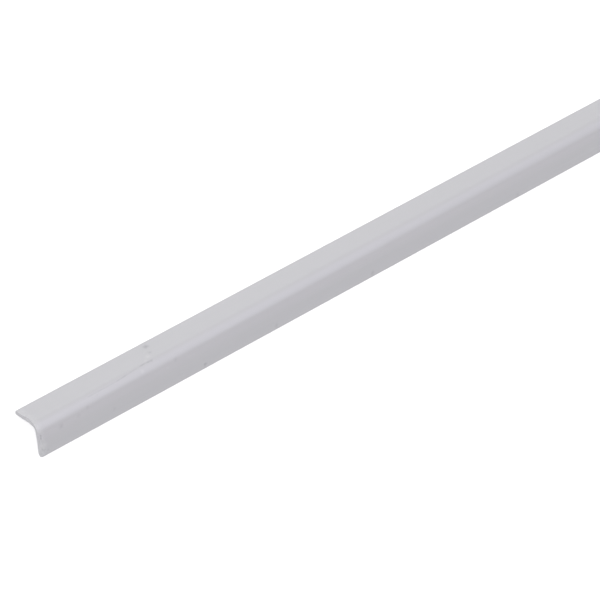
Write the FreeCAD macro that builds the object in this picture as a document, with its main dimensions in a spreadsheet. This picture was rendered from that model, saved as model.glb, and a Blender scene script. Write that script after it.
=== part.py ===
"""Corner guard moulding: a length of extruded rigid vinyl angle with a rounded nose.

The guard covers the outside corner of a wall. It is one extrusion, so it is one solid: two equal legs
that meet in a broadly rounded nose, a smaller fillet inside the bend, and eased edges along the tip of
each leg. Both ends are cut square.

Frame, in millimetres: X runs along the length and Z is up. The guard lies as it rests on a level floor,
with the nose up and both leg tips down. The origin is on the floor, at mid-length, under the nose.
"""

import FreeCAD
import Part
import Sketcher

import math
import os

NODE = "corner_guard"

# The driving sizes of the extrusion, in millimetres: name, value and meaning.
SIZES = (
    ("length", 1219.2, "stock length of four feet"),
    ("leg_width", 19.05, "outside width of each leg, from the nose's square corner to the tip"),
    ("wall", 2.1, "wall of both legs"),
    ("nose_radius", 5.2, "outside radius of the bend, which people brush against"),
    ("bend_radius", 2.3, "inside radius of the bend, which clears the corner of the wall"),
    ("tip_radius", 0.5, "easing of both edges of each tip"),
)

# The tips can't be eased by more than the wall leaves room for on its two edges.
TIP_EASING = "min(sizes.tip_radius; 0.45 * sizes.wall)"

# Two points nearer than this, in millimetres, are the same corner of the section.
SAME_POINT = 1e-4


def make_sheet(doc):
    """Put the driving sizes in a spreadsheet, one row each, with the value's cell named."""
    sheet = doc.addObject("Spreadsheet::Sheet", "sizes")
    for row, (name, value, meaning) in enumerate(SIZES, start=1):
        sheet.set(f"A{row}", name)
        sheet.set(f"B{row}", str(value))
        sheet.set(f"C{row}", meaning)
        sheet.setAlias(f"B{row}", name)
    doc.recompute()
    return sheet


def section_corners(sheet):
    """The square corners of the angle section, from the nose around the first leg and back.

    The nose's square corner is at the origin. One leg runs along +x and the other along -y.
    """
    leg = sheet.leg_width
    wall = sheet.wall
    return {
        "nose": (0, 0),
        "first_tip_outside": (leg, 0),
        "first_tip_inside": (leg, -wall),
        "bend": (wall, -wall),
        "second_tip_inside": (wall, -leg),
        "second_tip_outside": (0, -leg),
    }


def draw_section(body, corners):
    """Sketch the angle section across the length, with square corners, on the body's YZ plane."""
    sketch = body.newObject("Sketcher::SketchObject", "angle_section")
    plane = next(f for f in body.Origin.OriginFeatures if f.Role == "YZ_Plane")
    sketch.AttachmentSupport = [(plane, "")]
    sketch.MapMode = "FlatFace"

    points = [FreeCAD.Vector(x, y, 0) for x, y in corners.values()]
    sides = [
        sketch.addGeometry(Part.LineSegment(start, end), False)
        for start, end in zip(points, points[1:] + points[:1])
    ]
    for side, following in zip(sides, sides[1:] + sides[:1]):
        sketch.addConstraint(Sketcher.Constraint("Coincident", side, 2, following, 1))
    for number, side in enumerate(sides):
        direction = "Vertical" if number % 2 else "Horizontal"
        sketch.addConstraint(Sketcher.Constraint(direction, side))
    sketch.addConstraint(Sketcher.Constraint("Coincident", sides[0], 1, -1, 1))

    first_leg, first_tip, _, _, second_tip, second_leg = sides
    sketch.addConstraint(Sketcher.Constraint("Equal", first_leg, second_leg))
    sketch.addConstraint(Sketcher.Constraint("Equal", first_tip, second_tip))
    name_length(sketch, first_leg, "leg_width")
    name_length(sketch, first_tip, "wall")
    return sketch


def name_length(sketch, side, size):
    """Give one side of the sketch the length that the named cell holds."""
    length = sketch.Geometry[side].length()
    constraint = sketch.addConstraint(Sketcher.Constraint("Distance", side, length))
    sketch.renameConstraint(constraint, size)
    sketch.setExpression(f"Constraints.{size}", f"sizes.{size}")


def extrude(body, sketch):
    """Draw the section out to the stock length, half of it on each side of the sketch."""
    pad = body.newObject("PartDesign::Pad", "extrusion")
    pad.Profile = sketch
    pad.SideType = "Symmetric"
    pad.setExpression("Length", "sizes.length")
    return pad


def lengthwise_edges(feature, points):
    """Names of the feature's edges that run along the length through these section points."""
    names = []
    for number, edge in enumerate(feature.Shape.Edges, start=1):
        ends = [vertex.Point for vertex in edge.Vertexes]
        for y, z in points:
            if all(math.hypot(end.y - y, end.z - z) < SAME_POINT for end in ends):
                names.append(f"Edge{number}")
    return names


def round_edges(body, name, base, points, radius):
    """Fillet the lengthwise edges of the base at these section points, by the radius expression."""
    base.Document.recompute()
    fillet = body.newObject("PartDesign::Fillet", name)
    fillet.Base = (base, lengthwise_edges(base, points))
    fillet.setExpression("Radius", radius)
    return fillet


def lay_on_tips(body):
    """Turn the nose up, by 45 degrees about the length, and stand the two tips on the floor.

    The lowest line of each tip is on its eased inside edge.
    """
    body.Placement = FreeCAD.Placement(
        FreeCAD.Vector(0, 0, 0), FreeCAD.Rotation(FreeCAD.Vector(1, 0, 0), -45)
    )
    height = f"(sizes.leg_width + sizes.wall - 2 * {TIP_EASING}) / sqrt(2) + {TIP_EASING}"
    body.setExpression("Placement.Base.z", height)


def make_guard(doc, sheet):
    """The guard as one body: angle section, extrusion, nose, bend and tips."""
    body = doc.addObject("PartDesign::Body", NODE)
    body.Label = NODE
    corners = section_corners(sheet)
    tips = [corners[name] for name in corners if "tip" in name]

    sketch = draw_section(body, corners)
    angle = extrude(body, sketch)
    nose = round_edges(body, "nose", angle, [corners["nose"]], "sizes.nose_radius")
    bend = round_edges(body, "bend", nose, [corners["bend"]], "sizes.bend_radius")
    round_edges(body, "tips", bend, tips, TIP_EASING)
    lay_on_tips(body)
    return body


def check(doc, body):
    """Stop on any object that failed to compute, and on a guard that isn't one valid solid."""
    for item in doc.Objects:
        if "Invalid" in item.State or "Error" in item.State:
            raise RuntimeError(f"{item.Name} failed: {item.State}")
    if body.Shape.isNull() or not body.Shape.isValid() or len(body.Shape.Solids) != 1:
        raise RuntimeError(f"{body.Label} isn't one valid solid")


def main():
    doc = FreeCAD.newDocument("corner_guard_moulding")
    sheet = make_sheet(doc)
    guard = make_guard(doc, sheet)
    doc.recompute()
    check(doc, guard)

    os.makedirs("parts", exist_ok=True)
    guard.Shape.exportStep(f"parts/{guard.Label}.step")
    box = guard.Shape.BoundBox
    print(f"{guard.Label}: {guard.Shape.Volume:.1f} mm3, {len(guard.Shape.Faces)} faces")
    print(f"x {box.XMin:.3f} {box.XMax:.3f}, y {box.YMin:.3f} {box.YMax:.3f}, z {box.ZMin:.4f} {box.ZMax:.4f}")


main()
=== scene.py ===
"""A length of rigid vinyl corner guard, lying on its two leg tips on a white floor."""

import math
from collections import namedtuple

import bpy
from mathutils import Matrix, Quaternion, Vector, noise


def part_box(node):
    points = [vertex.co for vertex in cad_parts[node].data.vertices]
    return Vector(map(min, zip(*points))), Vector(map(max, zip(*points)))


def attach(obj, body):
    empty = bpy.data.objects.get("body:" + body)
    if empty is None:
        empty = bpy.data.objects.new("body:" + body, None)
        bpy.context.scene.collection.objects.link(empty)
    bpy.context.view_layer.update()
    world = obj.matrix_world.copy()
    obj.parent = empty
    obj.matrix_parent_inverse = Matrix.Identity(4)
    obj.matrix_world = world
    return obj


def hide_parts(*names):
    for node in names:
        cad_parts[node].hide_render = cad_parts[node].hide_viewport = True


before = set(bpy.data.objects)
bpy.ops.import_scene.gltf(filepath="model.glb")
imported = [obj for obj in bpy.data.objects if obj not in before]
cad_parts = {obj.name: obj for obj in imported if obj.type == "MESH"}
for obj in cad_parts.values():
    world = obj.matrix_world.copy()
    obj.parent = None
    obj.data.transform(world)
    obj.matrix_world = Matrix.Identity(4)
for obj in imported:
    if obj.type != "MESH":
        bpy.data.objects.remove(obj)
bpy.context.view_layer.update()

# The moulding is one extrusion of rigid vinyl. Hot vinyl leaves a die in this section and is held to it by
# a sizing block in a bath of water: two equal legs, a broad nose outside, a tighter bend inside and eased
# tips. It is cut to stock length, and lies nose up on its two tips.
MM = 0.001
LEG = 19.05 * MM
WALL = 2.1 * MM
NOSE_RADIUS = 5.2 * MM
BEND_RADIUS = 2.3 * MM
TIP_RADIUS = 0.5 * MM

# How high the nose's square corner is over the floor, and how long half of the nose is around the outside.
CORNER_HEIGHT = (LEG + WALL - 2 * TIP_RADIUS) / math.sqrt(2) + TIP_RADIUS
HALF_NOSE = NOSE_RADIUS * math.radians(45)

# How many steps the mesh takes along each flat, around each edge of a tip and around the nose.
FLAT_STEPS = 22
TIP_STEPS = 4
NOSE_STEPS = 18

guard_low, guard_high = (Vector(corner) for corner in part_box("corner_guard"))
NEAR_CUT = guard_low.x
LENGTH = guard_high.x - guard_low.x

# A place on the section: how far it is from the nose's square corner along the first and the second leg,
# how far around the outside from the crest of the nose, and how deep below the outside.
Place = namedtuple("Place", "first second around depth")


def quarter(steps):
    """Angles from nothing to a right angle, in even steps."""
    return [math.radians(90) * step / steps for step in range(steps + 1)]


def across_wall(along_outside, along_inside, eased):
    """A place on the outside of the first leg, and the one across the wall from it.

    Where the tip is rounded, eased is how far each lies in from its face of the wall.
    """
    around = along_outside - NOSE_RADIUS + HALF_NOSE
    outside = Place(along_outside, eased, around, eased)
    inside = Place(along_inside, WALL - eased, around, WALL - eased)
    return outside, inside


def first_leg():
    """The first leg from its tip to the nose, as pairs of places across the wall."""
    pairs = []
    for turn in quarter(TIP_STEPS):
        along = LEG - TIP_RADIUS * (1 - math.cos(turn))
        pairs.append(across_wall(along, along, TIP_RADIUS * (1 - math.sin(turn))))
    start = LEG - TIP_RADIUS
    for step in range(1, FLAT_STEPS + 1):
        outside = start + (NOSE_RADIUS - start) * step / FLAT_STEPS
        inside = start + (WALL + BEND_RADIUS - start) * step / FLAT_STEPS
        pairs.append(across_wall(outside, inside, 0.0))
    return pairs


def nose():
    """The nose from the first leg to the second, as pairs of places across the wall."""
    pairs = []
    for turn in quarter(NOSE_STEPS)[1:-1]:
        around = HALF_NOSE - NOSE_RADIUS * turn
        first, second = 1 - math.sin(turn), 1 - math.cos(turn)
        outside = Place(NOSE_RADIUS * first, NOSE_RADIUS * second, around, 0.0)
        inside = Place(WALL + BEND_RADIUS * first, WALL + BEND_RADIUS * second, around, WALL)
        pairs.append((outside, inside))
    return pairs


def whole_section():
    """The section from the first leg's tip over the nose to the second's, as pairs across the wall."""
    leg = first_leg()
    other_leg = [
        [Place(place.second, place.first, -place.around, place.depth) for place in pair]
        for pair in reversed(leg)
    ]
    return leg + nose() + other_leg


def stood_up(place):
    """Where a place lies when the guard stands on its tips, across the length."""
    y = (place.first - place.second) / math.sqrt(2)
    z = CORNER_HEIGHT - (place.first + place.second) / math.sqrt(2)
    return Vector((0, y, z))


# Where the hot vinyl drags on the lips of the die it keeps faint lines along its length, and an uneven pull
# on its way through the water leaves long, shallow waves. Both are hundredths of a millimetre high, and
# show only as soft streaks in what the faces reflect.
DIE_LINE_HEIGHT = 0.012 * MM
DIE_LINE_WIDTH = 1.7 * MM
DIE_LINE_LENGTH = 420 * MM
WAVE_HEIGHT = 0.05 * MM
WAVE_LENGTH = 130 * MM
WAVE_WIDTH = 9 * MM
WAVE_SEED = 7


def drawn_relief(along, place):
    """Height of the surface over its true section."""
    layer = place.depth / WALL
    line = noise.noise(Vector((along / DIE_LINE_LENGTH, place.around / DIE_LINE_WIDTH, layer)))
    wave = noise.noise(Vector((along / WAVE_LENGTH, place.around / WAVE_WIDTH, WAVE_SEED + layer)))
    return DIE_LINE_HEIGHT * line + WAVE_HEIGHT * wave


# Both ends are cut with a saw from above. The near cut is a degree or two out of square, the far one less.
# The blade leaves the edge ragged and upright marks on the face, and a file has then dressed the burr away:
# it leaves a narrow rounded edge, and shallow hollows where it took more off.
SKEW_REACH = 30 * MM
RAGGED_EDGE = 0.12 * MM
RAGGED_SIZE = 0.8 * MM
DRESSED_REACH = 3 * MM
DRESSED_LEAN = 0.1 * MM
EASED_EDGE = 0.25 * MM
BLADE_MARK = 0.02 * MM
BLADE_PITCH = 1.6 * MM
BLADE_WANDER = 4 * MM
BLADE_SWING = 4

# A cut's skew is how far it lies back for each millimetre along the first and the second leg. A hollow has
# its middle and reach around the edge, and what is gone at the outside and at the inside, in millimetres.
Cut = namedtuple("Cut", "skew hollows seed")
NEAR = Cut(
    skew=(0.021, -0.040),
    hollows=((7.5, 5.0, 0.6, 0.25), (-9.0, 6.0, 0.5, 0.15), (-18.2, 2.6, 0.35, 0.35)),
    seed=3,
)
FAR = Cut(
    skew=(-0.008, 0.010),
    hollows=((9.5, 6.0, 0.4, 0.1), (-7.0, 5.0, 0.5, 0.2)),
    seed=2,
)


def fading(distance, reach):
    """1 at no distance, falling evenly to 0 at the reach."""
    return max(0.0, 1 - distance / reach)


def dressed_back(cut, place):
    """How far the blade and the file have taken a place on a cut back."""
    grain = Vector((place.around / RAGGED_SIZE, place.depth / RAGGED_SIZE, cut.seed))
    back = DRESSED_LEAN * (1 - place.depth / WALL) + RAGGED_EDGE * max(0.0, noise.noise(grain))
    for middle, reach, outside, inside in cut.hollows:
        away = (place.around / MM - middle) / reach
        if abs(away) < 1:
            gone = outside + (inside - outside) * place.depth / WALL
            back += gone * MM * (1 - away * away) ** 2
    return back


def set_back(cut, from_end, place):
    """How far a cut moves a place at this distance from the end inwards along the length."""
    skew = cut.skew[0] * place.first + cut.skew[1] * place.second
    least = LEG * min(0.0, *cut.skew)
    whole = fading(from_end, SKEW_REACH) * (skew - least)
    return whole + fading(from_end, DRESSED_REACH) * dressed_back(cut, place)


def eased_edge(along, place):
    """How far the file has taken the outer edge of a cut down, as a quarter round."""
    from_cut = min(along, LENGTH - along)
    if from_cut >= EASED_EDGE or place.depth > WALL / 2:
        return 0.0
    run = 1 - from_cut / EASED_EDGE
    return EASED_EDGE * (1 - math.sqrt(1 - run * run))


def blade_mark(cut, at):
    """Depth of the blade's marks at a point on a cut: low upright ridges that swing to and fro.

    They are drawn a little coarser than a fine blade leaves them, so that the grid can hold them.
    """
    wander = noise.noise(Vector((at.y / BLADE_WANDER, at.z / BLADE_WANDER, cut.seed)))
    ridge = math.sin(2 * math.pi * at.y / BLADE_PITCH + BLADE_SWING * wander)
    return BLADE_MARK * (0.5 + 0.5 * ridge)


# In the store and on the way the length is knocked and rubbed, most of all on its nose and tips. The knocks
# are shallow dents, and dirt stays in them. Each is measured in millimetres from the near cut and around
# from the crest, positive on the first leg, with its radius and how hard it was.
KNOCKS = (
    (78.6, 13.6, 1.8, 1.0),
    (76.8, 7.8, 1.3, 0.5),
    (73.2, 1.9, 0.9, 0.6),
    (13.8, -6.2, 1.7, 0.45),
    (24.8, -5.6, 1.6, 0.3),
    (30.6, -3.8, 1.1, 0.3),
    (45.7, -12.4, 1.3, 0.3),
    (85.5, -3.7, 1.3, 0.35),
    (102.8, -15.4, 1.2, 1.0),
    (149.4, -15.4, 1.3, 0.5),
    (214.9, -15.6, 1.4, 0.6),
    (319.4, -16.0, 1.4, 0.45),
    (540.0, 2.5, 1.6, 0.8),
    (700.0, -8.0, 1.8, 0.6),
    (905.0, 11.0, 1.6, 0.7),
    (1130.0, -1.5, 1.7, 0.8),
)
KNOCK_DEPTH = 0.07 * MM


def knocked(along, place):
    """How deep the knocks have pressed a place on the outside in."""
    if place.depth > WALL / 2:
        return 0.0
    total = 0.0
    for knock_along, knock_around, radius, force in KNOCKS:
        away = math.hypot(along / MM - knock_along, place.around / MM - knock_around) / radius
        if away < 1:
            total += force * (1 - away * away) ** 2
    return KNOCK_DEPTH * total


# All of this is one piece of vinyl, so it is one closed mesh: rings of points around the section, closest
# together at the cuts and the knocks, and a grid of points across each cut.
RING_GAP = 4 * MM
GAP_AT_CUT = 0.1 * MM
GAP_AT_KNOCK = 0.5 * MM
GROWTH_FROM_CUT = 0.07
GROWTH_FROM_KNOCK = 0.15
CUT_STEPS = 6
SHARP_EDGE = math.radians(35)

# A point keeps two things for the material: where it lies on the moulding as if that were unrolled, given
# along the length, around from the crest and deep in the wall, and 1 where the saw has bared it, else 0.
Point = namedtuple("Point", "at unrolled sawn")


def ring_places():
    """Distances of the rings from the near cut."""
    places = [0.0]
    while places[-1] < LENGTH:
        here = places[-1]
        from_cut = min(here, LENGTH - here)
        from_knock = min(abs(here - knock[0] * MM) for knock in KNOCKS)
        at_cut = GAP_AT_CUT + GROWTH_FROM_CUT * from_cut
        at_knock = GAP_AT_KNOCK + GROWTH_FROM_KNOCK * from_knock
        places.append(here + min(RING_GAP, at_cut, at_knock))
    return [place * LENGTH / places[-1] for place in places]


def outward(ring):
    """The direction out of the vinyl at each place of a ring."""
    flat = [stood_up(place) for place in ring]
    directions = []
    for i in range(len(flat)):
        run = flat[(i + 1) % len(flat)] - flat[i - 1]
        directions.append(Vector((0, run.z, -run.y)).normalized())
    return directions


def add_sides(points, faces, ring, rings_along):
    """The drawn surface: a ring at each distance, and faces from each ring to the next."""
    directions = outward(ring)
    count = len(ring)
    for along in rings_along:
        sawn = float(along in (rings_along[0], rings_along[-1]))
        for place, direction in zip(ring, directions):
            height = drawn_relief(along, place) - eased_edge(along, place) - knocked(along, place)
            at = stood_up(place) + direction * height
            shift = set_back(NEAR, along, place) - set_back(FAR, LENGTH - along, place)
            at.x = NEAR_CUT + along + shift
            points.append(Point(at, (along, place.around, place.depth), sawn))
    for k in range(len(rings_along) - 1):
        for i in range(count):
            here = k * count + i
            beside = k * count + (i + 1) % count
            faces.append((here, beside, beside + count, here + count))


def add_cut(points, faces, pairs, cut, ring_start, along, inward):
    """The face of a cut: rows of points across the wall, and faces from each row to the next.

    It closes the ring whose first point is ring_start. Inward is 1 where the vinyl goes on towards +X, and
    -1 at the other end. The two tips need no points between their ends, so one face joins each to the row
    beside it.
    """
    rows = []
    for i, (outside, _) in enumerate(pairs):
        start = ring_start + i
        end = ring_start + 2 * len(pairs) - 1 - i
        row = [start]
        steps = 1 if i in (0, len(pairs) - 1) else CUT_STEPS
        for step in range(1, steps):
            at = points[start].at.lerp(points[end].at, step / steps)
            at.x += inward * blade_mark(cut, at)
            row.append(len(points))
            points.append(Point(at, (along, outside.around, WALL * step / steps), 1.0))
        rows.append(row + [end])
    for row, following in zip(rows, rows[1:]):
        if len(row) != len(following):
            faces.append((row + following[::-1])[::inward])
            continue
        for step in range(CUT_STEPS):
            face = (row[step], row[step + 1], following[step + 1], following[step])
            faces.append(face[::inward])


def build_guard():
    """The whole guard as one object, with what its material reads at each point."""
    pairs = whole_section()
    ring = [outside for outside, _ in pairs] + [inside for _, inside in reversed(pairs)]
    rings_along = ring_places()
    points = []
    faces = []
    add_sides(points, faces, ring, rings_along)
    last_ring = len(points) - len(ring)
    add_cut(points, faces, pairs, NEAR, ring_start=0, along=0.0, inward=1)
    add_cut(points, faces, pairs, FAR, ring_start=last_ring, along=LENGTH, inward=-1)

    mesh = bpy.data.meshes.new("vinyl_angle")
    mesh.from_pydata([point.at for point in points], [], faces)
    unrolled = mesh.attributes.new("unrolled", "FLOAT_VECTOR", "POINT")
    unrolled.data.foreach_set("vector", [number for point in points for number in point.unrolled])
    sawn = mesh.attributes.new("sawn", "FLOAT", "POINT")
    sawn.data.foreach_set("value", [point.sawn for point in points])
    mesh.shade_smooth()
    mesh.set_sharp_from_angle(angle=SHARP_EDGE)
    guard = bpy.data.objects.new("vinyl_angle", mesh)
    bpy.context.collection.objects.link(guard)
    return guard


guard = build_guard()
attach(guard, "root")
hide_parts("corner_guard")

# The material is rigid vinyl (PVC) that is grey all through, with the satin skin that a sizing block gives.
# To the eye it is a pale, slightly cool grey with a wide, soft sheen along the nose. Faint streaks run
# lengthwise, the inside is duller, and vinyl that was cut or scraped turns whitish and loses its sheen.
VINYL_IOR = 1.53
SKIN_ROUGHNESS = 0.42
SPECK_SPACING = 24 * MM
SPECK_RADIUS = 0.24 * MM
SPOT_SPREAD = 1.2
STRESSED_REACH = 4.5 * MM
DULL_DEPTH = 0.6 * WALL


def linear(code):
    """A colour written as an sRGB hex value, as the linear red, green and blue that a shader takes."""
    parts = [int(code[i:i + 2], 16) / 255 for i in (1, 3, 5)]
    return [p / 12.92 if p <= 0.04045 else ((p + 0.055) / 1.055) ** 2.4 for p in parts] + [1]


def node(tree, kind, inputs=None, **settings):
    """Add one node, with its settings, and its inputs as plain values or as links from other nodes."""
    new = tree.nodes.new(kind)
    for name, value in settings.items():
        setattr(new, name, value)
    for name, value in (inputs or {}).items():
        if isinstance(value, bpy.types.NodeSocket):
            tree.links.new(value, new.inputs[name])
        else:
            new.inputs[name].default_value = value
    return new


def patches(tree, source, long, wide, start=0.3, full=0.7, low=0.0, peak=1.0):
    """Cloudy patches, so many millimetres long and wide.

    The cloud is low where it is below start and at its peak where it is above full.
    """
    scaled = node(tree, "ShaderNodeVectorMath", {
        0: source, 1: (1 / (long * MM), 1 / (wide * MM), 1 / WALL),
    }, operation="MULTIPLY")
    cloud = node(tree, "ShaderNodeTexNoise", {"Vector": scaled.outputs[0], "Scale": 1.0, "Detail": 2.0})
    level = node(tree, "ShaderNodeMapRange", {
        "Value": cloud.outputs[0], "From Min": start, "From Max": full, "To Min": low, "To Max": peak,
    })
    return level.outputs[0]


def ragged(tree, unrolled, grain, reach):
    """Places pushed about by a noise of this grain, so that outlines drawn from them are ragged."""
    wander = node(tree, "ShaderNodeTexNoise", {
        "Vector": unrolled, "Scale": 1 / (grain * MM), "Detail": 1.0,
    })
    centred = node(tree, "ShaderNodeVectorMath", {
        0: wander.outputs["Color"], 1: (0.5, 0.5, 0.5),
    }, operation="SUBTRACT")
    pushed = node(tree, "ShaderNodeVectorMath", {
        0: centred.outputs[0], 1: (2 * reach * MM, 2 * reach * MM, 0), 2: unrolled,
    }, operation="MULTIPLY_ADD")
    return pushed.outputs[0]


def scuffs(tree, unrolled):
    """Fine scratches from handling, in patches. They are drawn about twice as wide as real ones."""
    ways = []
    for degrees in (9, -14):
        turned = node(tree, "ShaderNodeVectorRotate", {
            "Vector": unrolled, "Angle": math.radians(degrees),
        }, rotation_type="Z_AXIS")
        ways.append(patches(tree, turned.outputs[0], long=16, wide=0.22, start=0.62, full=0.70))
    lines = node(tree, "ShaderNodeMath", {0: ways[0], 1: ways[1]}, operation="MAXIMUM")
    return patches(tree, unrolled, long=70, wide=11, start=0.50, full=0.62, peak=lines.outputs[0])


def specks(tree, unrolled):
    """Dark specks of burnt vinyl from the die, of many sizes and less than half a millimetre wide."""
    scaled = node(tree, "ShaderNodeVectorMath", {
        0: ragged(tree, unrolled, grain=0.15, reach=0.15), "Scale": 1 / SPECK_SPACING,
    }, operation="SCALE")
    cells = node(tree, "ShaderNodeTexVoronoi", {
        "Vector": scaled.outputs[0], "Scale": 1.0,
    }, voronoi_dimensions="2D")
    radius = node(tree, "ShaderNodeMath", {
        0: cells.outputs["Color"], 1: SPECK_RADIUS / SPECK_SPACING,
    }, operation="MULTIPLY")
    dot = node(tree, "ShaderNodeMapRange", {
        "Value": cells.outputs["Distance"], "From Max": radius.outputs[0], "To Min": 1.0, "To Max": 0.0,
    }, interpolation_type="SMOOTHSTEP")
    return dot.outputs[0]


def spots(tree, unrolled, places):
    """Spots with ragged outlines: each place gives its middle, radius and strength.

    A spot spreads a little past its radius.
    """
    torn = ragged(tree, unrolled, grain=0.9, reach=1)
    total = 0.0
    for along, around, radius, strength in places:
        away = node(tree, "ShaderNodeVectorMath", {
            0: torn, 1: (along * MM, around * MM, 0),
        }, operation="DISTANCE")
        spot = node(tree, "ShaderNodeMapRange", {
            "Value": away.outputs["Value"],
            "From Max": SPOT_SPREAD * radius * MM,
            "To Min": strength,
            "To Max": 0.0,
        })
        total = node(tree, "ShaderNodeMath", {0: total, 1: spot.outputs[0]}, operation="MAXIMUM").outputs[0]
    return total


def band(tree, where, middle, full, reach):
    """A soft band along the whole outside, so many millimetres around from the crest.

    It is at its full strength this near to its middle, and gone at its reach.
    """
    away = node(tree, "ShaderNodeMath", {0: where.outputs["Y"], 1: middle * MM}, operation="SUBTRACT")
    away = node(tree, "ShaderNodeMath", {0: away.outputs[0]}, operation="ABSOLUTE")
    outside = node(tree, "ShaderNodeMath", {0: where.outputs["Z"], 1: WALL / 2}, operation="LESS_THAN")
    strength = node(tree, "ShaderNodeMapRange", {
        "Value": away.outputs[0],
        "From Min": full * MM,
        "From Max": reach * MM,
        "To Min": outside.outputs[0],
        "To Max": 0.0,
    }, interpolation_type="SMOOTHSTEP")
    return strength.outputs[0]


def beside_cuts(tree, unrolled, where):
    """Whitened patches where the saw has stressed the vinyl, within a few millimetres of the cuts."""
    from_far = node(tree, "ShaderNodeMath", {0: LENGTH, 1: where.outputs["X"]}, operation="SUBTRACT")
    nearest = node(tree, "ShaderNodeMath", {
        0: where.outputs["X"], 1: from_far.outputs[0],
    }, operation="MINIMUM")
    fade = node(tree, "ShaderNodeMapRange", {
        "Value": nearest.outputs[0],
        "From Max": STRESSED_REACH,
        "To Min": patches(tree, unrolled, long=0.9, wide=1.3, start=0.42, full=0.62, low=0.3),
        "To Max": 0.0,
    })
    return fade.outputs[0]


# Scraped places, where the vinyl has turned whitish: around the start of the scratch below, beside the near
# cut, and a few farther on. They are given as the knocks are, with a strength in place of the force.
SCRAPES = (
    (73.8, 5.4, 1.8, 0.7),
    (71.0, 3.6, 1.0, 0.5),
    (65.8, -0.9, 1.3, 0.5),
    (80.1, -5.7, 0.8, 0.6),
    (2.0, 14.3, 1.2, 0.6),
    (2.5, 8.5, 1.0, 0.6),
    (1.6, -7.4, 1.2, 0.6),
    (0.6, -11.0, 1.0, 0.9),
    (2.8, -11.8, 2.0, 0.6),
    (430.0, 6.5, 2.0, 0.5),
    (655.0, -4.0, 1.8, 0.5),
    (980.0, 3.0, 1.5, 0.6),
)

# Dirt that has stuck on the edge of the near cut, where there is no dent to hold it. It is given as the
# knocks are.
GRIME = (
    (1.3, -5.4, 0.6, 1.4),
    (1.2, -6.2, 0.6, 1.4),
    (1.1, -6.9, 0.5, 1.3),
    (1.0, -7.6, 0.6, 1.4),
    (1.2, -13.7, 0.6, 0.6),
    (2.3, -14.3, 0.6, 0.6),
    (4.6, -15.2, 0.5, 0.6),
    (0.1, 9.5, 0.6, 0.6),
    (0.1, 4.4, 0.6, 0.6),
)

# One long scratch beside the crest, deepest where something hard first met it. Its points are given as the
# knocks are, each with the width of the scratch in millimetres and its strength there.
SCRATCH = (
    (73.6, 1.8, 1.2, 1.0),
    (69.3, 2.2, 1.0, 0.8),
    (64.0, 1.9, 0.9, 0.8),
    (58.8, 1.5, 0.9, 0.7),
    (54.8, 1.2, 0.8, 0.7),
    (50.8, 0.9, 0.7, 0.7),
    (44.0, 0.8, 0.7, 0.6),
    (36.0, 0.8, 0.7, 0.5),
    (28.5, 0.6, 0.7, 0.0),
)


def groove(tree, unrolled, start, end):
    """One stretch of the scratch, as a groove that is deepest along its middle."""
    first, last = (Vector((*point[:2], 0)) * MM for point in (start, end))
    run = last - first
    from_first = node(tree, "ShaderNodeVectorMath", {0: unrolled, 1: first}, operation="SUBTRACT")
    share = node(tree, "ShaderNodeVectorMath", {
        0: from_first.outputs[0], 1: run / run.length_squared,
    }, operation="DOT_PRODUCT")
    share = node(tree, "ShaderNodeClamp", {"Value": share.outputs["Value"]})
    nearest = node(tree, "ShaderNodeVectorMath", {0: run, "Scale": share.outputs[0]}, operation="SCALE")
    away = node(tree, "ShaderNodeVectorMath", {
        0: from_first.outputs[0], 1: nearest.outputs[0],
    }, operation="DISTANCE")
    strength = node(tree, "ShaderNodeMapRange", {
        "Value": share.outputs[0], "To Min": start[3], "To Max": end[3],
    })
    depth = node(tree, "ShaderNodeMapRange", {
        "Value": away.outputs["Value"],
        "From Max": start[2] / 2 * MM,
        "To Min": strength.outputs[0],
        "To Max": 0.0,
    })
    return depth.outputs[0]


def long_scratch(tree, unrolled):
    """The whole scratch, deeper in some stretches than in others."""
    total = 0.0
    for start, end in zip(SCRATCH, SCRATCH[1:]):
        total = node(tree, "ShaderNodeMath", {
            0: total, 1: groove(tree, unrolled, start, end),
        }, operation="MAXIMUM").outputs[0]
    uneven = patches(tree, unrolled, long=3, wide=20, start=0.42, full=0.58, low=0.25)
    return node(tree, "ShaderNodeMath", {0: total, 1: uneven}, operation="MULTIPLY").outputs[0]


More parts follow.
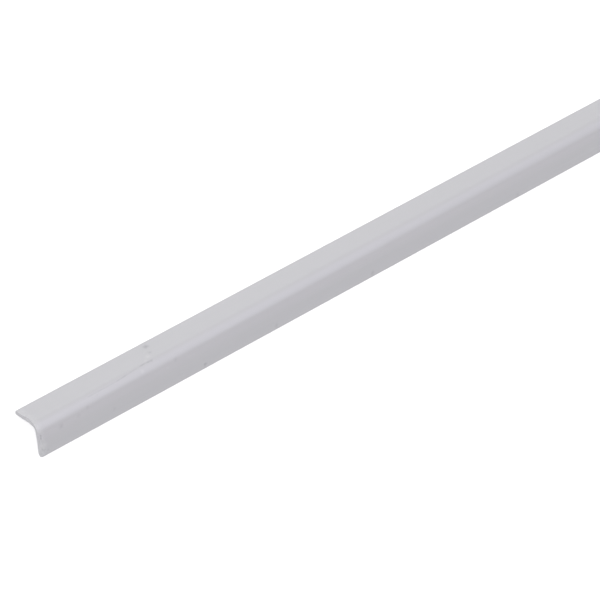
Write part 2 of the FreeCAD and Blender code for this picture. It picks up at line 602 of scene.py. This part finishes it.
def satin_vinyl():
    """The vinyl's skin, and its marks as masks that change its colour, its gloss and its height."""
    material = bpy.data.materials.new("rigid_vinyl_satin")
    material.use_nodes = True
    tree = material.node_tree
    tree.nodes.clear()
    unrolled = node(tree, "ShaderNodeAttribute", attribute_name="unrolled").outputs["Vector"]
    sawn = node(tree, "ShaderNodeAttribute", attribute_name="sawn").outputs["Fac"]
    where = node(tree, "ShaderNodeSeparateXYZ", {0: unrolled})
    inside = node(tree, "ShaderNodeMapRange", {
        "Value": where.outputs["Z"], "From Min": DULL_DEPTH, "From Max": WALL,
    }).outputs[0]

    # Streaks and clouds come with the die. Sleeves have polished the crest, so it is glossier there, and
    # the lighter colour along it is a painted highlight. The sizing block has rubbed a duller line beside
    # it on the first leg, and the darker colour in that line is painted shade. The lighter band below the
    # crest on the second leg is painted sheen.
    streaks = patches(tree, unrolled, long=260, wide=1.1)
    clouds = patches(tree, unrolled, long=60, wide=9)
    peel = patches(tree, unrolled, long=0.8, wide=0.7)
    crest_polish_and_painted_highlight = band(tree, where, middle=-0.8, full=0.6, reach=3.6)
    dull_line_and_painted_shade = band(tree, where, middle=2.2, full=0, reach=2.2)
    painted_sheen_below_crest = band(tree, where, middle=-6.0, full=0, reach=4.5)
    scuffed = scuffs(tree, unrolled)
    whitened = beside_cuts(tree, unrolled, where)
    dirt = spots(tree, unrolled, KNOCKS + GRIME)
    scraped = spots(tree, unrolled, SCRAPES)
    scratched = long_scratch(tree, unrolled)

    # The saw's marks stand upright on both legs, so they follow the object itself, not its unrolled skin.
    standing = node(tree, "ShaderNodeTexCoord").outputs["Object"]
    saw_lines = patches(tree, standing, long=1, wide=0.3, start=0.35, full=0.65, peak=sawn)

    colour = linear("#CECED1")
    for mask, peak, shade in (
        (streaks, 0.5, "#D2D2D5"),
        (clouds, 0.4, "#D2D1D5"),
        # Painted highlight: a lighter colour along the crest, where the sheen of the lamps falls.
        (crest_polish_and_painted_highlight, 0.7, "#D5D4DA"),
        # Painted shade: a darker colour in the dull line beside the crest, where the sheen dips.
        (dull_line_and_painted_shade, 0.3, "#CAC9CD"),
        # Painted sheen: a lighter colour on the second leg below the crest, where the crest's highlight
        # spreads.
        (painted_sheen_below_crest, 0.5, "#D6D4D9"),
        (scuffed, 0.6, "#DCDCDD"),
        (whitened, 0.7, "#E4E4E6"),
        (specks(tree, unrolled), 0.8, "#8C8A8D"),
        (scraped, 0.7, "#E4E4E6"),
        (sawn, 0.9, "#E6E6E8"),
        (saw_lines, 0.5, "#CECED0"),
        (dirt, 0.42, "#8E8C94"),
        (scratched, 0.45, "#8E8C94"),
    ):
        share = node(tree, "ShaderNodeMath", {0: mask, 1: peak}, operation="MULTIPLY").outputs[0]
        colour = node(tree, "ShaderNodeMix", {
            0: share, 6: colour, 7: linear(shade),
        }, data_type="RGBA").outputs[2]

    roughness = SKIN_ROUGHNESS
    for mask, level in (
        (crest_polish_and_painted_highlight, 0.28),
        (streaks, 0.44),
        (inside, 0.55),
        (dull_line_and_painted_shade, 0.46),
        (scuffed, 0.58),
        (whitened, 0.60),
        (scraped, 0.60),
        (dirt, 0.65),
        (sawn, 0.75),
    ):
        roughness = node(tree, "ShaderNodeMix", {0: mask, 2: roughness, 3: level}).outputs[0]

    height = 0.0
    for mask, rise in (
        (peel, 0.003),
        (streaks, 0.002),
        (scuffed, -0.004),
        (scratched, -0.03),
        (whitened, 0.01),
        (scraped, 0.01),
        (saw_lines, 0.02),
    ):
        height = node(tree, "ShaderNodeMath", {
            0: mask, 1: rise * MM, 2: height,
        }, operation="MULTIPLY_ADD").outputs[0]
    bump = node(tree, "ShaderNodeBump", {"Height": height, "Distance": 1.0})

    shader = node(tree, "ShaderNodeBsdfPrincipled", {
        "Base Color": colour,
        "Roughness": roughness,
        "IOR": VINYL_IOR,
        "Normal": bump.outputs[0],
    })
    node(tree, "ShaderNodeOutputMaterial", {"Surface": shader.outputs["BSDF"]})
    return material


guard.data.materials.append(satin_vinyl())

# The floor is a plain white sheet of paper. It keeps the guard's soft shadow, and what the camera and
# glossy surfaces see of it is lifted to white.
FLOOR_HALF = 6.0
FLOOR_LIFT = 0.76

floor_corners = [(x * FLOOR_HALF, y * FLOOR_HALF, 0) for x, y in ((-1, -1), (1, -1), (1, 1), (-1, 1))]
floor_mesh = bpy.data.meshes.new("floor")
floor_mesh.from_pydata(floor_corners, [], [(0, 1, 2, 3)])
floor = bpy.data.objects.new("floor", floor_mesh)
bpy.context.collection.objects.link(floor)


def seen_directly(tree):
    """1 for rays from the camera and for those that gloss or glass sends on, else 0."""
    path = node(tree, "ShaderNodeLightPath")
    seen = node(tree, "ShaderNodeMath", {
        0: path.outputs["Is Camera Ray"], 1: path.outputs["Is Glossy Ray"],
    }, operation="MAXIMUM")
    seen = node(tree, "ShaderNodeMath", {
        0: seen.outputs[0], 1: path.outputs["Is Transmission Ray"],
    }, operation="MAXIMUM")
    return seen.outputs[0]


def white_paper():
    """Plain white paper, lifted to white where it is seen directly."""
    material = bpy.data.materials.new("white_paper")
    material.use_nodes = True
    tree = material.node_tree
    tree.nodes.clear()
    lift = node(tree, "ShaderNodeMath", {0: seen_directly(tree), 1: FLOOR_LIFT}, operation="MULTIPLY")
    shader = node(tree, "ShaderNodeBsdfPrincipled", {
        "Base Color": linear("#D8D8D8"),
        "Roughness": 0.9,
        "Emission Color": (1, 1, 1, 1),
        "Emission Strength": lift.outputs[0],
    })
    node(tree, "ShaderNodeOutputMaterial", {"Surface": shader.outputs["BSDF"]})
    return material


floor_mesh.materials.append(white_paper())

# The light is a white studio: an even fill from all around, two soft boxes overhead that draw the sheen
# along the nose, one beside the first leg that keeps it paler than the second, and one before the near end.
# The two that reach the second leg are daylight, and a trace cooler than the others.
FILL = 0.3
DAYLIGHT = (0.96, 0.94, 1.0)

studio = bpy.data.worlds.new("studio")
bpy.context.scene.world = studio
studio.use_nodes = True
studio.node_tree.nodes.clear()
strength = node(studio.node_tree, "ShaderNodeMapRange", {
    "Value": seen_directly(studio.node_tree), "To Min": FILL, "To Max": 1.0,
})
fill = node(studio.node_tree, "ShaderNodeBackground", {
    "Color": (1, 1, 1, 1), "Strength": strength.outputs[0],
})
node(studio.node_tree, "ShaderNodeOutputWorld", {"Surface": fill.outputs[0]})


def soft_box(name, place, size, power, colour=(1, 1, 1)):
    """A square lamp turned to the middle of the guard: place and size in metres, power in watts."""
    lamp = bpy.data.lights.new(name, "AREA")
    lamp.size = size
    lamp.energy = power
    lamp.color = colour
    holder = bpy.data.objects.new(name, lamp)
    holder.location = place
    holder.rotation_euler = (-Vector(place)).to_track_quat("-Z", "Y").to_euler()
    bpy.context.collection.objects.link(holder)


soft_box("overhead_near_first_leg", (-0.4, 0.5, 2.4), size=1.4, power=20.5)
soft_box("overhead_near_second_leg", (0.3, -1.0, 2.1), size=1.2, power=9.3, colour=DAYLIGHT)
soft_box("beside_first_leg", (0.3, 2.4, 0.5), size=1.0, power=9)
soft_box("before_near_end", (-2.4, 0.0, 1.3), size=1.4, power=13.3, colour=DAYLIGHT)

# The camera looks down along the guard from beyond its near end, from a distance that keeps the far part
# nearly as wide as the near one, and is turned so that the length rises to the right. Its lens and sensor
# are in millimetres, as Blender takes them.
EYE = Vector((-1169.9, -158.4, 1276.4)) * MM
AIM = Vector((-438.7, -5.6, 0.0)) * MM
ROLL = math.radians(47.87)
SENSOR_WIDTH = 36
LENS = 171.6

camera_data = bpy.data.cameras.new("camera")
camera_data.sensor_width = SENSOR_WIDTH
camera_data.lens = LENS
camera_data.clip_end = 50
camera = bpy.data.objects.new("camera", camera_data)
camera.location = EYE
turned = (AIM - EYE).to_track_quat("-Z", "Y") @ Quaternion((0, 0, 1), ROLL)
camera.rotation_euler = turned.to_euler()
bpy.context.collection.objects.link(camera)
bpy.context.scene.camera = camera

bpy.context.scene.view_settings.view_transform = "Standard"
